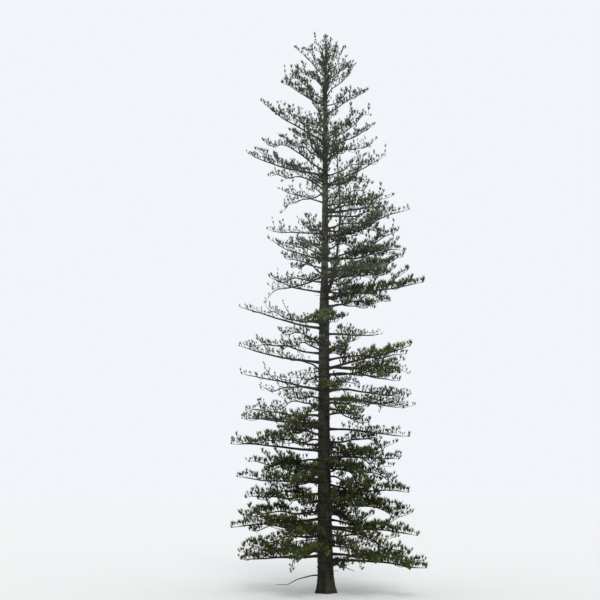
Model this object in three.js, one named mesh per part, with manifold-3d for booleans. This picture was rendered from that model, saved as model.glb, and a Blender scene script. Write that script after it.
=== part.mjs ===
// A Norfolk Island pine, about 35 m tall, rooted in level ground.
// Millimetres, +Z up, seen from the front along +Y with +X to the right.
// The origin is the middle of the flat cut under the trunk.
// Solids: the trunk, a second stem beside it, the main boughs, and the masses of foliage,
// each mass one closed body of a stem and side twigs set with sprays.
import * as THREE from "three";
import { mergeVertices } from "three/addons/utils/BufferGeometryUtils.js";
import Module from "manifold-3d";

const wasm = await Module();
wasm.setup();

// Trunk: height and radius at each change of taper, from the ground to the tip.
const treeHeight = 35000;
const trunkProfile = [
  [0, 640],
  [350, 545],
  [1000, 480],
  [2400, 445],
  [9600, 352],
  [17000, 306],
  [18700, 218],
  [24600, 178],
  [29500, 138],
  [32400, 78],
  [34000, 34],
];
const trunkSides = 12;
const trunkRings = 22;
const ringCrowding = 1.7; // above 1, rings stand closer together near the ground
const trunkBow = 170; // how far the upper trunk stands to the right of its foot
const trunkSway = 70; // how far the lower trunk bows to the left
const swayShare = 0.625; // share of the height over which it does
const flareLobes = 5;
const flareTurn = 0.8; // turn of the lobes round the trunk, in radians
const flareDepth = 0.16;
const flareFade = 700; // height over which the root lobes die away

// Second stem, which leaves the trunk's right side and climbs beside it.
const sideStem = {
  foot: 17300,
  shoulder: 18800, // where it has left the trunk by most of its distance
  shoulderShare: 0.55,
  top: 27300,
  topShare: 0.8,
  azimuth: 8,
  stand: 930, // distance from the trunk's middle to its own
  footRadius: 115,
  topRadius: 34,
  sides: 8,
  steps: 11,
  tuftHeight: 1300,
};

// Tiers of boughs: root height, then the reach to the left, to the right, and in depth.
// Depth limbs point to the front and to the back by turns.
const tiers = [
  [2200, 5700, 5900, 5500],
  [4200, 5500, 5500, 5400],
  [6200, 5300, 5000, 5300],
  [8100, 5700, 5000, 5200],
  [9900, 6200, 5000, 5200],
  [11700, 4900, 5800, 4900],
  [13600, 5600, 5400, 4700],
  [15700, 5400, 3700, 4400],
  [17900, 3800, 5900, 4200],
  [19900, 3400, 5500, 4000],
  [21700, 3600, 4800, 3800],
  [23500, 2900, 4900, 3700],
  [25300, 4900, 3800, 3500],
  [27600, 4200, 3400, 3000],
  [30000, 2900, 2700, 2400],
  [32100, 1900, 1800, 1600],
];
const furthestReach = 6500;
const azimuthSwing = 30; // side limbs stand this far off the picture plane, by turns
const azimuthJitter = 13;
const depthJitter = 26; // the same for depth limbs
const rightAzimuth = 8; // middle of the right limbs, so that they pass beside the second stem
const rightDrop = 450; // right limbs leave the trunk this far under their tier's left one
const depthRise = 380; // and depth limbs this far over it
const rootJitter = 120;
const riseJitter = 5;
const limbSweep = 14; // how far a limb's outer half may turn aside

// Rise above the horizon at a limb's root and at its tip, in degrees, by root height.
const rootRise = [
  [0, -4],
  [12000, 5],
  [20000, 6],
  [26000, 16],
  [30000, 34],
  [34000, 48],
];
const tipRise = [
  [0, -9],
  [9000, -10],
  [14000, 2],
  [19000, 12],
  [26000, 26],
  [30000, 40],
  [34000, 52],
];
const leftUpturn = 12; // the left limbs turn up more at their tips
const barkGap = 0.32; // clear distance between pieces that touch
const boughReach = 5600; // limbs with at least this reach have a bare bough and then a mass
const boughShare = 0.36; // share of such a limb that is bare
const thinnestLimb = 14; // radius at its root of a limb of no length
const limbGirth = 0.0095; // growth of that radius with the limb's reach
const limbTaper = 0.78; // share of it that is lost towards the tip

// Foliage: a mass is a stem with side twigs, all set with sprays. A stem or twig is a rod with
// rows of corners. Every third corner is drawn out into a spray, one slim tapering blade, so
// that each spray stands between corners that stay on the rod.
const limbSides = 6;
const twigSides = 3;
const boughSteps = 4;
const rowSpacing = 230; // between one row of corners along a stem and the next
const fewestRows = 11;
const footShare = 0.17; // bare share of a limb whose mass starts at the trunk
const bareEnd = 0.02; // bare share of a limb past the end of its bough
const stemEnd = 0.93; // a stem ends here, and its last spray carries on to the tip
const fullReach = 5000; // limbs of this reach have sprays of full length
const sprayLength = 1250;
const shortestShare = 0.6; // sprays of the shortest and longest limbs, as shares of that
const longestShare = 1.05;
const swellFrom = 0.3; // part of a half wave over which sprays swell and shrink along a rod
const swellSpan = 0.45;
const lengthJitter = 0.2;
const sprayAngle = 54; // angle between a rod and a spray at the rod's foot
const angleFade = 0.38; // share of it that is lost towards the tip
const angleJitter = 6;
const roundJitter = 7;

// The sprays of each corner, from the top over to the right: which way they turn round the
// rod, 90 being up, and their length as a share of the full one.
const corners = [
  { round: 90, share: 0.62 },
  { round: 26, share: 1 },
  { round: -17, share: 0.85 },
  { round: -90, share: 0.3 },
  { round: 197, share: 0.85 },
  { round: 154, share: 1 },
];

// Side twigs: where they leave the mass's stem, as a share of its leafy stretch, and their side.
const twigReach = 3900; // limbs shorter than this have no side twigs
const twigs = [
  { place: 0.22, side: 1 },
  { place: 0.42, side: -1 },
];
const placeJitter = 0.05;
const twigShare = 0.35; // length of a side twig as a share of its limb's reach
const twigAngle = 40;
const twigRise = 8;
const twigRows = 6;
const twigFootShare = 0.16; // bare share of a side twig
const twigGirth = 0.7; // its radius as a share of its stem's
const uprightTaper = 0.6; // share of its radius that a side twig or a tuft's stem loses
const twigSprayShare = 0.72;
const twigSeedStep = 100;

// Tufts at the ends of the two stems.
const tuftRows = 8;
const tuftFootShare = 0.1;
const tuftSprayShare = 0.25; // length of its sprays as a share of its height
const leaderSeed = 71;
const sideSeed = 83;

const keepClear = 12; // a spray nearer than this to another piece is left out
const tipRoom = 30; // half width of the room that the tip of a spray or twig needs
const twigRoom = 90; // and the foot of a twig
const groundClear = 120;

const up = new THREE.Vector3(0, 0, 1);
const degrees = THREE.MathUtils.degToRad;

// Repeatable scatter between -1 and 1 from three whole numbers.
function scatter(a, b, c) {
  const wave = Math.sin(a * 12.9898 + b * 78.233 + c * 37.719) * 43758.5453;
  return 2 * (wave - Math.floor(wave)) - 1;
}

// Straight-line reading of a table of [place, value] pairs.
function along(table, place) {
  for (let i = 1; i < table.length; i++) {
    const [from, a] = table[i - 1];
    const [to, b] = table[i];
    if (place <= to) return a + ((b - a) * Math.max(0, place - from)) / (to - from);
  }
  return table.at(-1)[1];
}

// A mesh as a manifold solid, its shared corners merged.
function solidOf(geometry) {
  const bare = new THREE.BufferGeometry();
  bare.setAttribute("position", geometry.getAttribute("position"));
  bare.setIndex(geometry.getIndex());
  const merged = mergeVertices(bare, 1e-3);
  return new wasm.Manifold(
    new wasm.Mesh({
      numProp: 3,
      vertProperties: new Float32Array(merged.attributes.position.array),
      triVerts: new Uint32Array(merged.index.array),
    }),
  );
}

function geometryOf(solid) {
  const mesh = solid.getMesh();
  const places = new Float32Array(mesh.numVert * 3);
  for (let i = 0; i < mesh.numVert; i++)
    places.set(mesh.vertProperties.subarray(i * mesh.numProp, i * mesh.numProp + 3), i * 3);
  const geometry = new THREE.BufferGeometry();
  geometry.setAttribute("position", new THREE.BufferAttribute(places, 3));
  geometry.setIndex(new THREE.BufferAttribute(new Uint32Array(mesh.triVerts), 1));
  geometry.computeVertexNormals();
  return geometry;
}

// Sideways and upward directions square to a heading.
function frameAt(heading) {
  const side = new THREE.Vector3().crossVectors(heading, up);
  if (side.length() < 1e-4) side.set(1, 0, 0);
  side.normalize();
  return { side, lift: new THREE.Vector3().crossVectors(side, heading).normalize() };
}

// A cylinder bent along a curve, with its radius from radiusAt(share of the way).
function limbSolid(curve, from, to, radiusAt, sides, steps) {
  const rod = new THREE.CylinderGeometry(1, 1, 1, sides, steps, false);
  const place = rod.getAttribute("position");
  for (let i = 0; i < place.count; i++) {
    const share = place.getY(i) + 0.5;
    const t = from + (to - from) * share;
    const { side, lift } = frameAt(curve.getTangent(t));
    const spread = Math.hypot(place.getX(i), place.getZ(i));
    const angle = Math.atan2(place.getZ(i), place.getX(i));
    const radius = spread < 1e-6 ? 0 : radiusAt(share);
    const point = curve
      .getPoint(t)
      .addScaledVector(side, radius * Math.cos(angle))
      .addScaledVector(lift, radius * Math.sin(angle));
    place.setXYZ(i, point.x, point.y, point.z);
  }
  return solidOf(rod);
}

// Middle of the trunk at a height: a slight bow.
function trunkAxis(z) {
  const share = z / treeHeight;
  const x = trunkBow * share * share - trunkSway * Math.sin(Math.PI * Math.min(1, share / swayShare));
  return new THREE.Vector3(x, 0, z);
}

// Rings of the trunk, stood closer together near the ground. Extra is added all round.
function trunkSolid(extra) {
  const top = trunkProfile.at(-1)[0];
  const rod = new THREE.CylinderGeometry(1, 1, 1, trunkSides, trunkRings, false);
  const place = rod.getAttribute("position");
  for (let i = 0; i < place.count; i++) {
    const share = Math.pow(place.getY(i) + 0.5, ringCrowding);
    const z = share * top;
    const spread = Math.hypot(place.getX(i), place.getZ(i));
    const angle = Math.atan2(-place.getZ(i), place.getX(i));
    const lobes = 1 + flareDepth * Math.exp(-z / flareFade) * Math.cos(flareLobes * angle + flareTurn);
    const radius = spread < 1e-6 ? 0 : along(trunkProfile, z) * lobes + extra;
    const axis = trunkAxis(z);
    place.setXYZ(i, axis.x + radius * Math.cos(angle), axis.y + radius * Math.sin(angle), z);
  }
  return solidOf(rod);
}

// Heading on the level for an azimuth in degrees: 0 is right, 90 is back.
function level(azimuth) {
  return new THREE.Vector3(Math.cos(degrees(azimuth)), Math.sin(degrees(azimuth)), 0);
}

// The line of a limb: it leaves at one rise and ends at another, and sweeps a little aside.
function limbCurve(height, azimuth, reach, riseAtRoot, riseAtTip, sweep) {
  const root = trunkAxis(height);
  const knee = root
    .clone()
    .addScaledVector(level(azimuth), reach / 2)
    .addScaledVector(up, (reach / 2) * Math.tan(degrees(riseAtRoot)));
  const tip = knee
    .clone()
    .addScaledVector(level(azimuth + sweep), reach / 2)
    .addScaledVector(up, (reach / 2) * Math.tan(degrees(riseAtTip)));
  return new THREE.QuadraticBezierCurve3(root, knee, tip);
}

// Every limb of the tiers, with its name, line and thickness.
function allLimbs() {
  const limbs = [];
  tiers.forEach(([height, left, right, depth], tier) => {
    const turn = tier % 2 ? 1 : -1;
    const sides = [
      ["left", 180 + azimuthSwing * turn, left, 0],
      ["right", rightAzimuth + azimuthSwing * turn, right, -rightDrop],
      [turn > 0 ? "back" : "front", 90 * turn, depth, depthRise],
    ];
    sides.forEach(([name, middle, span, offset], s) => {
      const root = height + offset + rootJitter * scatter(tier, s, 1);
      const lean = riseJitter * scatter(tier, s, 2);
      const inPicture = name === "left" || name === "right";
      const azimuth = middle + (inPicture ? azimuthJitter : depthJitter) * scatter(tier, s, 3);
      const upturn = name === "left" && height < 20000 ? leftUpturn : 0;
      // Side reaches are measured in the picture plane, so a limb that stands off it is longer.
      const across = inPicture ? Math.abs(Math.cos(degrees(azimuth))) : 1;
      const reach = Math.min(span / across, furthestReach);
      const riseAtRoot = along(rootRise, root) + lean;
      const riseAtTip = along(tipRise, root) + lean + upturn;
      const sweep = limbSweep * scatter(tier, s, 4);
      const curve = limbCurve(root, azimuth, reach, riseAtRoot, riseAtTip, sweep);
      const hasBough = span >= boughReach;
      limbs.push({
        name: `${name}_${String(tier + 1).padStart(2, "0")}`,
        curve,
        reach,
        hasBough,
        from: hasBough ? boughShare + barkGap / curve.getLength() : 0, // where its mass starts
        seed: tier * 3 + s,
      });
    });
  });
  return limbs;
}

const limbRadius = (reach, t) => (thinnestLimb + reach * limbGirth) * (1 - limbTaper * t);

// The largest body of a solid, so that no loose scrap stays.
function largest(solid) {
  return solid.decompose().sort((a, b) => b.volume() - a.volume())[0];
}

// Room that is taken, by the name of the node that has it, so that foliage keeps clear of it.
const taken = [];

function take(name, solid) {
  taken.push({ name, solid, box: solid.boundingBox() });
}

function touchesAnother(name, solid) {
  const box = solid.boundingBox();
  return taken.some(({ name: owner, solid: other, box: room }) => {
    if (owner === name) return false;
    for (let k = 0; k < 3; k++)
      if (box.min[k] > room.max[k] + keepClear || box.max[k] < room.min[k] - keepClear) return false;
    return solid.minGap(other, keepClear) < keepClear;
  });
}

// Whether a spray or twig has room: clear of the ground and of every other node. Its foot is
// as wide as the stretch of the rod that it is drawn out of.
function hasRoom(name, foot, tip, footWidth) {
  if (tip.z < groundClear) return false;
  const width = (share) => THREE.MathUtils.lerp(footWidth, tipRoom, share);
  return !touchesAnother(name, limbSolid(new THREE.LineCurve3(foot, tip), 0, 1, width, 4, 1));
}

// Where a corner of a rod goes when it is drawn out into a spray.
function sprayTip(curve, t, share, corner, fullLength, seed, draw) {
  const heading = curve.getTangent(t);
  const { side, lift } = frameAt(heading);
  const round = degrees(corners[corner].round + roundJitter * scatter(seed, draw, 5));
  const angle = degrees(sprayAngle * (1 - angleFade * share) + angleJitter * scatter(seed, draw, 6));
  const swell = Math.sin(Math.PI * (swellFrom + swellSpan * share));
  const length = fullLength * swell * corners[corner].share * (1 + lengthJitter * scatter(seed, draw, 7));
  return curve
    .getPoint(t)
    .addScaledVector(heading, length * Math.cos(angle))
    .addScaledVector(side, length * Math.cos(round) * Math.sin(angle))
    .addScaledVector(lift, length * Math.sin(round) * Math.sin(angle));
}

// A stem or twig with its sprays. Row 0 is its foot, and its sprays stand from row 2 on.
function sprayedRod({ name, curve, from, leafFrom, radius, sides, rows, fullLength, seed }) {
  const rod = new THREE.CylinderGeometry(1, 1, 1, sides, rows, false);
  const place = rod.getAttribute("position");
  const rowGap = (curve.getLength() * (stemEnd - leafFrom)) / (rows - 1);
  for (let i = 0; i < place.count; i++) {
    const row = Math.round((place.getY(i) + 0.5) * rows);
    const share = Math.max(0, row - 1) / (rows - 1);
    const t = row ? leafFrom + (stemEnd - leafFrom) * share : from;
    const { side, lift } = frameAt(curve.getTangent(t));
    let point = curve.getPoint(t);
    if (Math.hypot(place.getX(i), place.getZ(i)) > 0.5) {
      const turn = Math.atan2(place.getX(i), place.getZ(i)); // from the top over to the right
      point.addScaledVector(side, radius(t) * Math.sin(turn));
      point.addScaledVector(lift, radius(t) * Math.cos(turn));
      const column = (Math.round((turn / (2 * Math.PI)) * sides) + sides) % sides;
      if (row > 1 && row < rows && (column + row) % 3 === 0) {
        const corner = (column * corners.length) / sides;
        const tip = sprayTip(curve, t, share, corner, fullLength, seed, row * sides + column);
        if (hasRoom(name, point, tip, rowGap)) point = tip;
      }
    } else if (row) {
      point = curve.getPoint(1);
    }
    place.setXYZ(i, point.x, point.y, point.z);
  }
  return solidOf(rod);
}

// The plain stem of a mass, for the room that it takes.
function plainStem({ curve, from, radius }) {
  const radiusAt = (share) => radius(THREE.MathUtils.lerp(from, stemEnd, share));
  return limbSolid(curve, from, stemEnd, radiusAt, limbSides, boughSteps);
}

// A side twig of a mass: its own line, its foot in the middle of the stem.
function twigOf(mass, { place, side }, k) {
  const t = THREE.MathUtils.lerp(mass.leafFrom, stemEnd, place + placeJitter * scatter(mass.seed, k, 8));
  const foot = mass.curve.getPoint(t);
  const heading = mass.curve.getTangent(t).applyAxisAngle(up, degrees(twigAngle * side));
  heading.addScaledVector(up, Math.tan(degrees(twigRise))).normalize();
  const length = mass.reach * twigShare * (1 + lengthJitter * scatter(mass.seed, k, 9));
  return {
    ...mass,
    curve: new THREE.LineCurve3(foot, foot.clone().addScaledVector(heading, length)),
    from: 0,
    leafFrom: twigFootShare,
    radius: (share) => twigGirth * mass.radius(t) * (1 - uprightTaper * share),
    sides: twigSides,
    rows: twigRows,
    fullLength: mass.fullLength * twigSprayShare,
    seed: mass.seed + twigSeedStep * (k + 1),
  };
}

// One mass: its sprayed stem and the side twigs that there is room for, joined.
function massSolid(mass) {
  const parts = [sprayedRod(mass)];
  if (mass.reach > twigReach)
    twigs.forEach((twig, k) => {
      const plan = twigOf(mass, twig, k);
      const [foot, tip] = [plan.curve.getPoint(0), plan.curve.getPoint(1)];
      if (hasRoom(mass.name, foot, tip, twigRoom)) parts.push(sprayedRod(plan));
    });
  return wasm.Manifold.union(parts);
}

// Finishes: colour, roughness.
const finish = {
  trunk: new THREE.MeshStandardMaterial({ color: 0x544a40, roughness: 0.95, metalness: 0 }),
  bough: new THREE.MeshStandardMaterial({ color: 0x4d4238, roughness: 0.92, metalness: 0 }),
  foliage: new THREE.MeshStandardMaterial({ color: 0x36452a, roughness: 0.8, metalness: 0 }),
};

const tree = new THREE.Group();

function addNode(name, solid, material) {
  const mesh = new THREE.Mesh(geometryOf(solid), material);
  mesh.name = name;
  tree.add(mesh);
  take(name, solid);
}

const trunkRoom = trunkSolid(barkGap);
addNode("trunk", trunkSolid(0), finish.trunk);

// Second stem: out of the trunk's side, then upright beside it.
function sideStemCurve() {
  const { foot, shoulder, shoulderShare, top, topShare, stand } = sideStem;
  const out = level(sideStem.azimuth);
  return new THREE.CatmullRomCurve3([
    trunkAxis(foot),
    trunkAxis(shoulder).addScaledVector(out, stand * shoulderShare),
    trunkAxis((foot + top) / 2).addScaledVector(out, stand),
    trunkAxis(top).addScaledVector(out, stand * topShare),
  ]);
}
const sideLine = sideStemCurve();
const sideRadius = (share) => THREE.MathUtils.lerp(sideStem.footRadius, sideStem.topRadius, share);
const sideSolid = limbSolid(sideLine, 0, 1, sideRadius, sideStem.sides, sideStem.steps);
addNode("side_stem", largest(sideSolid.subtract(trunkRoom)), finish.trunk);

// Bare boughs.
const limbs = allLimbs();
for (const { name, curve, reach } of limbs.filter((limb) => limb.hasBough)) {
  const radius = (share) => limbRadius(reach, share * boughShare);
  const bough = limbSolid(curve, 0, boughShare, radius, limbSides, boughSteps);
  addNode(`bough_${name}`, largest(bough.subtract(trunkRoom)), finish.bough);
}

// The foliage: a mass for every limb, and one for the end of each stem. All their stems take
// their room first, and then each grows its sprays in what is left.
function limbMass({ name, curve, reach, from, hasBough, seed }) {
  const leafFrom = Math.max(from + bareEnd, footShare);
  return {
    name: `foliage_${name}`,
    curve,
    from,
    leafFrom,
    radius: (t) => limbRadius(reach, t),
    reach,
    sides: limbSides,
    rows: Math.max(fewestRows, Math.round((reach * (stemEnd - leafFrom)) / rowSpacing)),
    fullLength: sprayLength * THREE.MathUtils.clamp(reach / fullReach, shortestShare, longestShare),
    seed,
    cutter: hasBough ? null : trunkRoom,
  };
}

function tuftMass(name, foot, heading, height, footRadius, seed) {
  return {
    name,
    curve: new THREE.LineCurve3(foot, foot.clone().addScaledVector(heading, height)),
    from: 0,
    leafFrom: tuftFootShare,
    radius: (t) => footRadius * (1 - uprightTaper * t),
    reach: height,
    sides: limbSides,
    rows: tuftRows,
    fullLength: height * tuftSprayShare,
    seed,
    cutter: null,
  };
}

const [trunkTop, trunkTopRadius] = trunkProfile.at(-1);
const leaderFoot = trunkAxis(trunkTop + barkGap);
const leaderHeight = treeHeight - leaderFoot.z;
const sideWay = sideLine.getTangent(1);
const sideFoot = sideLine.getPoint(1).addScaledVector(sideWay, barkGap);
const masses = [
  tuftMass("foliage_leader", leaderFoot, up, leaderHeight, trunkTopRadius, leaderSeed),
  tuftMass("foliage_side_stem", sideFoot, sideWay, sideStem.tuftHeight, sideStem.topRadius, sideSeed),
  ...limbs.map(limbMass),
];
const clearOf = (solid, cutter) => largest(cutter ? solid.subtract(cutter) : solid);
for (const mass of masses) take(mass.name, clearOf(plainStem(mass), mass.cutter));
for (const mass of masses) addNode(mass.name, clearOf(massSolid(mass), mass.cutter), finish.foliage);

export default tree;
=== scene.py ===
# A Norfolk Island pine 35 m tall: bark, boughs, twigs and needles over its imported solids.
# Metres, +Z up, seen from the front along +Y. The limbs are laid out by the source's own rule,
# written again here, and carried on to finer twigs within the same reach.
import math

import bpy
import numpy as np
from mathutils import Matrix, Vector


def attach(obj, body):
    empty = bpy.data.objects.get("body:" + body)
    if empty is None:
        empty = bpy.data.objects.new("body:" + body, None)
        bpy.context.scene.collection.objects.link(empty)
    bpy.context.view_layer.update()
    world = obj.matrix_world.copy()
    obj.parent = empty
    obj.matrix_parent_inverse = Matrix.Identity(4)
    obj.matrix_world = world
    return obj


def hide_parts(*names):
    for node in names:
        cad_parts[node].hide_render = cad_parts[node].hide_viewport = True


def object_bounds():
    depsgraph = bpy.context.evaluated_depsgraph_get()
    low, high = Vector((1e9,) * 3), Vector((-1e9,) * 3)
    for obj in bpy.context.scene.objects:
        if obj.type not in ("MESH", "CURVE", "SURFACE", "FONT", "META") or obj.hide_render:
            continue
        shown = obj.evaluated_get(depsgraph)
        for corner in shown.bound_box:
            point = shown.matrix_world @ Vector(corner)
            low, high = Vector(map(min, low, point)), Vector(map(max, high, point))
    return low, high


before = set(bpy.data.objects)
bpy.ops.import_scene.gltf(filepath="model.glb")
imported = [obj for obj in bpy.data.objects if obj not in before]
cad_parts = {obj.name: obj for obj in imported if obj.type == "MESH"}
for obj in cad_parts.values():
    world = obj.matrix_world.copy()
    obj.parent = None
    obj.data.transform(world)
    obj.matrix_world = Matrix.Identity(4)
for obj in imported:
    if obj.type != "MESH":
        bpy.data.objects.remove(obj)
cadLow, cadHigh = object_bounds()
up = np.array([0.0, 0.0, 1.0])
goldenTurn = 2.4  # radians by which what grows round a middle keeps apart
print("frame loaded:", len(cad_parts), "nodes")


# Vectors and tables

def unit(vectors):
    return vectors / np.maximum(np.linalg.norm(vectors, axis=-1, keepdims=True), 1e-9)


def mix(a, b, share):
    return a + (b - a) * share


def along(table, place):  # straight-line reading of (place, value) pairs
    places, values = zip(*table)
    return np.interp(place, places, values)


def scatter(a, b, c):  # the source's repeatable scatter, between -1 and 1
    wave = math.sin(a * 12.9898 + b * 78.233 + c * 37.719) * 43758.5453
    return 2 * (wave - math.floor(wave)) - 1


def level(azimuth):  # heading on the level: 0 is right, 90 is back
    return np.array([math.cos(math.radians(azimuth)), math.sin(math.radians(azimuth)), 0.0])


def turned(vector, degrees):  # about the vertical
    c = math.cos(math.radians(degrees))
    s = math.sin(math.radians(degrees))
    return np.array([c * vector[0] - s * vector[1], s * vector[0] + c * vector[1], vector[2]])


def bendAt(line, t):  # point on a bent line, which is its root, knee and tip
    t = np.atleast_1d(t)[:, None]
    root, knee, tip = line
    return (1 - t) ** 2 * root + 2 * t * (1 - t) * knee + t ** 2 * tip


def pathOf(line, wander, seed, steps=33):
    # The bent line in short steps, with a slow wander that grows from its root outwards.
    t = np.linspace(0, 1, steps)
    points = bendAt(line, t)
    side, lift = frameOf(unit(np.gradient(points, axis=0)))
    for k, (way, waves) in enumerate(((lift, 1.2), (side, 1.6), (lift, 2.7), (side, 3.7))):
        phase = math.pi * scatter(seed, k, 31)
        wave = np.sin(2 * math.pi * waves * t + phase) * t * wander / (1 + k)
        points = points + way * wave[:, None]
    return points


def pointAt(limb, t):
    t = np.atleast_1d(t)
    steps = np.linspace(0, 1, len(limb["path"]))
    return np.stack([np.interp(t, steps, limb["path"][:, axis]) for axis in range(3)], axis=1)


def headingAt(limb, t, step=0.02):
    t = np.atleast_1d(t)
    return unit(pointAt(limb, t + step) - pointAt(limb, t - step))


def pathLength(path):
    return float(np.linalg.norm(np.diff(path, axis=0), axis=1).sum())


# Shader nodes

class Signal:  # a node's output, on which sums can be written

    def __init__(self, tree, socket=None):
        self.tree = tree
        self.socket = socket

    def feed(self, target, value):
        if isinstance(value, Signal):
            self.tree.links.new(value.socket, target)
        else:
            target.default_value = value

    def node(self, kind, settings=None, sockets=None, output=0):
        made = self.tree.nodes.new(kind)
        for key, value in (settings or {}).items():
            if key == "stops":
                self.setStops(made.color_ramp, value)
            else:
                setattr(made, key, value)
        for key, value in (sockets or {}).items():
            self.feed(made.inputs[key], value)
        return Signal(self.tree, made.outputs[output])

    def setStops(self, ramp, stops):
        while len(ramp.elements) < len(stops):
            ramp.elements.new(1.0)
        for element, (place, colour) in zip(ramp.elements, stops):
            element.position = place
            element.color = colour

    def sum(self, operation, a, b):
        return self.node("ShaderNodeMath", {"operation": operation}, {0: a, 1: b})

    def __add__(self, other):
        return self.sum("ADD", self, other)

    def __radd__(self, other):
        return self.sum("ADD", other, self)

    def __mul__(self, other):
        return self.sum("MULTIPLY", self, other)

    def __rmul__(self, other):
        return self.sum("MULTIPLY", other, self)

    def blend(self, a, b):  # colours a and b mixed by this signal
        return self.node("ShaderNodeMix", {"data_type": "RGBA"}, {0: self, 6: a, 7: b}, 2)


def newMaterial(name, roughness, specular):
    material = bpy.data.materials.new(name)
    material.use_nodes = True
    shader = material.node_tree.nodes["Principled BSDF"]
    shader.inputs["Roughness"].default_value = roughness
    shader.inputs["Specular IOR Level"].default_value = specular
    return material, shader


def noise(start, place, stretch, scale, detail, rough):
    spot = start.node("ShaderNodeMapping", {}, {"Vector": place, "Scale": stretch})
    return start.node("ShaderNodeTexNoise", {}, {"Vector": spot, "Scale": scale, "Detail": detail,
                                                 "Roughness": rough}, "Fac")


def ramp(start, value, stops):
    return start.node("ShaderNodeValToRGB", {"stops": stops}, {"Fac": value}, "Color")


barkLook = {
    "dark": (0.016, 0.015, 0.011, 1),
    "pale": (0.105, 0.098, 0.080, 1),
    "moss": (0.056, 0.067, 0.041, 1),
    "mossAndLightHeights": (6.0, 24.0),  # the moss grows thicker from the one to the other, and over the same heights the wood goes from painted shade to paler, bluer painted sky light
    # painted shade low on the trunk, boughs and dead wood, and painted bluish sky light high on them,
    # multiplied into their colour by height
    "lowPaintedShade": (0.45, 0.46, 0.40, 1),
    "highPaintedSkyLight": (1.38, 1.54, 1.72, 1),
    "roughness": 0.93,
    "specular": 0.18,
    "patches": ((1, 1, 0.5), 2.2, 6.0, 0.55),  # stretch, scale, detail and roughness of each pattern
    "rings": ((1.6, 1.6, 16), 1.6, 5.0, 0.7),
    "flakes": ((1, 1, 0.8), 26, 4.0, 0.6),
    "mossPatches": ((1, 1, 0.6), 1.3, 5.0, 0.55),
    "ringShare": 0.55,
    "flakeShare": 0.45,
    "toneStops": (0.39, 0.51, 0.63),  # of the dark, the middle and the pale wood
    "patchShades": [(0.35, (0.42, 0.41, 0.39, 1)), (0.65, (1.24, 1.22, 1.18, 1))],
    "mossClimb": 0.12,
    "mossFrom": 0.50,
    "mossFull": 0.66,
    # how far the painted shadow under each collar darkens the wood
    "collarShadowStrength": 0.75,
    "leastRough": 0.82,
    "roughSpan": 0.16,
    "bumpDepth": 0.02,
    "bumpStrength": 0.9,
}
barkKinds = {  # the middle tone of the wood, and how much moss it carries
    "trunkBark": ((0.047, 0.043, 0.033, 1), 0.45),
    "boughBark": ((0.062, 0.050, 0.039, 1), 0.25),
    "deadBark": ((0.22, 0.20, 0.17, 1), 0.0),
}


def barkRelief(start, place):
    rings = noise(start, place, *barkLook["rings"])
    flakes = noise(start, place, *barkLook["flakes"])
    return rings * barkLook["ringShare"] + flakes * barkLook["flakeShare"]


def barkColour(start, place, relief, tint, mossShare):
    patches = noise(start, place, *barkLook["patches"])
    tones = (barkLook["dark"], tint, barkLook["pale"])
    wood = ramp(start, relief, list(zip(barkLook["toneStops"], tones)))
    shade = ramp(start, patches, barkLook["patchShades"])
    tinted = start.node("ShaderNodeVectorMath", {"operation": "MULTIPLY"}, {0: wood, 1: shade})
    height = start.node("ShaderNodeSeparateXYZ", {}, {0: place}, "Z")
    bottom, top = barkLook["mossAndLightHeights"]
    climb = start.node("ShaderNodeMapRange", {}, {"Value": height, "From Min": bottom, "From Max": top})
    # painted light by height: darker low down as if shaded, paler and bluer high up as if lit by the sky
    low = climb.blend(barkLook["lowPaintedShade"], barkLook["highPaintedSkyLight"])
    shaded = start.node("ShaderNodeVectorMath", {"operation": "MULTIPLY"}, {0: tinted, 1: low})
    moss = noise(start, place, *barkLook["mossPatches"]) + climb * barkLook["mossClimb"]
    mossy = start.node("ShaderNodeMapRange", {}, {"Value": moss, "From Min": barkLook["mossFrom"],
                                                  "From Max": barkLook["mossFull"], "To Max": mossShare})
    # painted shadow: the collar attribute marks a dark line under each collar, where the wood is blended
    # towards the dark tone
    collar = start.node("ShaderNodeAttribute", {"attribute_name": "collar"}, {}, "Fac")
    plain = mossy.blend(shaded, barkLook["moss"])
    return (collar * barkLook["collarShadowStrength"]).blend(plain, barkLook["dark"])


def barkMaterial(name):
    material, shader = newMaterial(name, barkLook["roughness"], barkLook["specular"])
    start = Signal(material.node_tree)
    place = start.node("ShaderNodeTexCoord", {}, {}, "Object")
    relief = barkRelief(start, place)
    start.feed(shader.inputs["Base Color"], barkColour(start, place, relief, *barkKinds[name]))
    start.feed(shader.inputs["Roughness"], barkLook["leastRough"] + relief * barkLook["roughSpan"])
    bump = start.node("ShaderNodeBump", {}, {"Height": relief, "Distance": barkLook["bumpDepth"],
                                             "Strength": barkLook["bumpStrength"]})
    start.feed(shader.inputs["Normal"], bump)
    return material


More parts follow.
